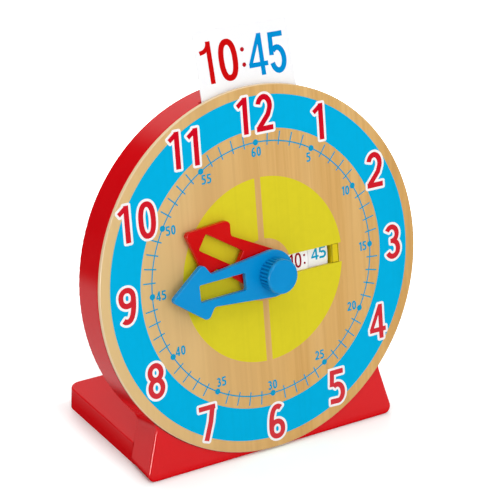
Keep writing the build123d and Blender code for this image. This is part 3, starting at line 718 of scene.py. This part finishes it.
# Digit, left and right side, pen, and how far it stands off the line
CARD_HOURS = (("1", -37.1, -26.9, 4.1, 0.3), ("0", -21.5, -4.8, 4.7, 0.0))
CARD_MINUTES = (("4", 4.4, 21.4, 4.1, 0.0), ("5", 23.0, 38.3, 4.3, -0.8))
CARD_COLON_DOTS, CARD_DOT_RADIUS = ((0.1, 44.0), (0.1, 32.4)), 1.7


def card_digits(digits):
    faces = []
    for digit, left, right, pen, rise in digits:
        for points, closed, share in card_strokes(digit, right - left, CARD_TOP - CARD_LINE, pen):
            moved = [(left + x, CARD_LINE + rise + y) for x, y in points]
            faces += stroke(moved, pen / 2 * share, closed)
    return faces


card_print("card_hour_digits", card_digits(CARD_HOURS), CARD_RED)
dots = []
for x, y in CARD_COLON_DOTS:
    dots += blob(x, y, CARD_DOT_RADIUS)
card_print("card_colon", dots, CARD_COLON)
card_print("card_minute_digits", card_digits(CARD_MINUTES), CARD_BLUE)


# ---------------------------------------------------------------- studio
def flat(name, size, location, look):
    mesh = bpy.data.meshes.new(name)
    s = size / 2
    mesh.from_pydata([(-s, -s, 0), (s, -s, 0), (s, s, 0), (-s, s, 0)], [], [(0, 1, 2, 3)])
    mesh.materials.append(look)
    made = bpy.data.objects.new(name, mesh)
    made.location = location
    bpy.context.scene.collection.objects.link(made)


def by_ray(tree, seen, mirrored, other):
    """A strength for camera rays, for glossy rays, and for the rest."""
    span, _ = graph(tree)
    path = tree.nodes.new("ShaderNodeLightPath").outputs
    value = span(path["Is Glossy Ray"], 0.0, 1.0, other, mirrored)
    value = span(path["Is Transmission Ray"], 0.0, 1.0, value, seen)
    return span(path["Is Camera Ray"], 0.0, 1.0, value, seen)


def split(tree, kind, output):
    """The three parts of a vector that a node gives."""
    made = tree.nodes.new("ShaderNodeSeparateXYZ")
    tree.links.new(tree.nodes.new(kind).outputs[output], made.inputs[0])
    return made.outputs


# Where the clock meets the floor, in metres
FOOT_SIDE, FOOT_FRONT, FOOT_BACK = 0.11, -0.0855, 0.0545


def floor_material():
    """A pale floor that keeps the shadow and otherwise meets the white background.

    It is mirrored as a sheet of white paper on a dark table would be: dark close beside the
    clock, where the sheet lies in shadow. The camera sees a painted shadow on it close to the
    clock's left side, and painted light at the right.
    """
    material = bpy.data.materials.new("studio_floor")
    material.use_nodes = True
    tree = material.node_tree
    tree.nodes.clear()
    span, math = graph(tree)
    out = tree.nodes.new("ShaderNodeOutputMaterial")
    paint = tree.nodes.new("ShaderNodeBsdfDiffuse")
    glow = tree.nodes.new("ShaderNodeEmission")
    both = tree.nodes.new("ShaderNodeAddShader")
    x, y, _ = split(tree, "ShaderNodeTexCoord", "Object")
    away = math("SQRT", math("ADD", math("MULTIPLY", x, x), math("MULTIPLY", y, y)))
    from_middle = math("ABSOLUTE", math("SUBTRACT", y, (FOOT_FRONT + FOOT_BACK) / 2))
    beside = math("MAXIMUM", math("SUBTRACT", math("ABSOLUTE", x), FOOT_SIDE),
                  math("SUBTRACT", from_middle, (FOOT_BACK - FOOT_FRONT) / 2))
    near = span(beside, 0.004, 0.028, 0.04, 0.55, smooth=True)
    sheet = math("MULTIPLY", near, span(away, 0.45, 0.6, 1.0, 0.05))
    # Painted shadow: the camera sees the floor darker close to the clock's left side, though not
    # past the foot's ends
    left = span(x, -FOOT_SIDE - 0.026, -FOOT_SIDE - 0.002, 1.0, 0.84, smooth=True)
    past_ends = math("MAXIMUM", span(y, FOOT_FRONT + 0.0255, FOOT_FRONT - 0.0045),
                     span(y, FOOT_BACK - 0.0245, FOOT_BACK + 0.0055))
    # Painted light: the camera sees the floor brighter at the clock's right, so that no shadow
    # shows there
    right = span(x, FOOT_SIDE + 0.005, FOOT_SIDE + 0.04, 1.0, 1.25, smooth=True)
    painted_shade_and_light = math("MULTIPLY", math("MAXIMUM", left, past_ends), right)
    shade = tree.nodes.new("ShaderNodeCombineColor")
    for channel, seen in (("Red", 1.27), ("Green", 1.36), ("Blue", 1.35)):
        tree.links.new(by_ray(tree, math("MULTIPLY", painted_shade_and_light, seen), sheet, 0.8),
                       shade.inputs[channel])
    tree.links.new(shade.outputs[0], paint.inputs["Color"])
    # Further out the camera sees the floor glow, so that it meets the background
    tree.links.new(by_ray(tree, span(away, 0.2, 0.8, 0.0, 0.7), 0.0, 0.0), glow.inputs["Strength"])
    tree.links.new(paint.outputs[0], both.inputs[0])
    tree.links.new(glow.outputs[0], both.inputs[1])
    tree.links.new(both.outputs[0], out.inputs["Surface"])
    return material


def lamp(name, location, target, size, power, glossy=True, diffuse=True):
    data = bpy.data.lights.new(name, "AREA")
    data.shape, data.size, data.energy = "DISK", size, power
    made = bpy.data.objects.new(name, data)
    made.location = location
    made.rotation_euler = (Vector(target) - Vector(location)).to_track_quat("-Z", "Y").to_euler()
    made.visible_camera, made.visible_glossy, made.visible_diffuse = False, glossy, diffuse
    bpy.context.scene.collection.objects.link(made)


def studio_world():
    """White for the camera, soft light on the clock, and in mirrors a wall behind at the right."""
    world = bpy.data.worlds.new("studio_world")
    world.use_nodes = True
    tree = world.node_tree
    span, math = graph(tree)
    background = tree.nodes["Background"]
    background.inputs["Color"].default_value = (1, 1, 1, 1)
    right, back, _ = split(tree, "ShaderNodeTexCoord", "Generated")
    wall = math("MULTIPLY", span(right, -0.12, 0.07), span(back, 0.0, 0.3))
    tree.links.new(by_ray(tree, 1.0, span(wall, 0.0, 1.0, 0.005, 0.5), 0.68),
                   background.inputs["Strength"])
    # Only rays that leave a surface meet the world, so that each meets the strength for its kind
    world.cycles.sampling_method = "NONE"
    return world


flat("floor", 6.0, (0, 0, 0), floor_material())
bpy.context.scene.world = studio_world()
lamp("key_light", (-0.48, -0.63, 1.55), (0, 0, 0.13), 0.8, 3.2)
lamp("front_light", (-0.15, -1.7, 0.8), (0, 0, 0.10), 1.2, 8.1)
lamp("back_light", (0.3, 1.1, 0.9), (0, 0, 0.05), 0.9, 7.2, glossy=False)
lamp("left_light", (-1.05, -0.72, 0.2), (0, 0, 0.08), 0.4, 10, diffuse=False)

# ---------------------------------------------------------------- camera
CAMERA_PLACE = on_dial(-829.27, 438.36, 1304.32)
CAMERA_AIM = on_dial(-20.23, 20.53)
CAMERA_ROLL = radians(2.774)
FOCAL_LENGTH = 150.8

lens = bpy.data.cameras.new("camera")
lens.sensor_width, lens.lens = 36.0, FOCAL_LENGTH
lens.clip_start, lens.clip_end = 0.01, 50.0
camera = bpy.data.objects.new("camera", lens)
bpy.context.scene.collection.objects.link(camera)
level = (CAMERA_AIM - CAMERA_PLACE).to_track_quat("-Z", "Y").to_matrix()
roll = Matrix.Rotation(CAMERA_ROLL, 3, "Z")
camera.matrix_world = Matrix.Translation(CAMERA_PLACE) @ (level @ roll).to_4x4()
bpy.context.scene.camera = camera
bpy.context.scene.view_settings.view_transform = "Standard"
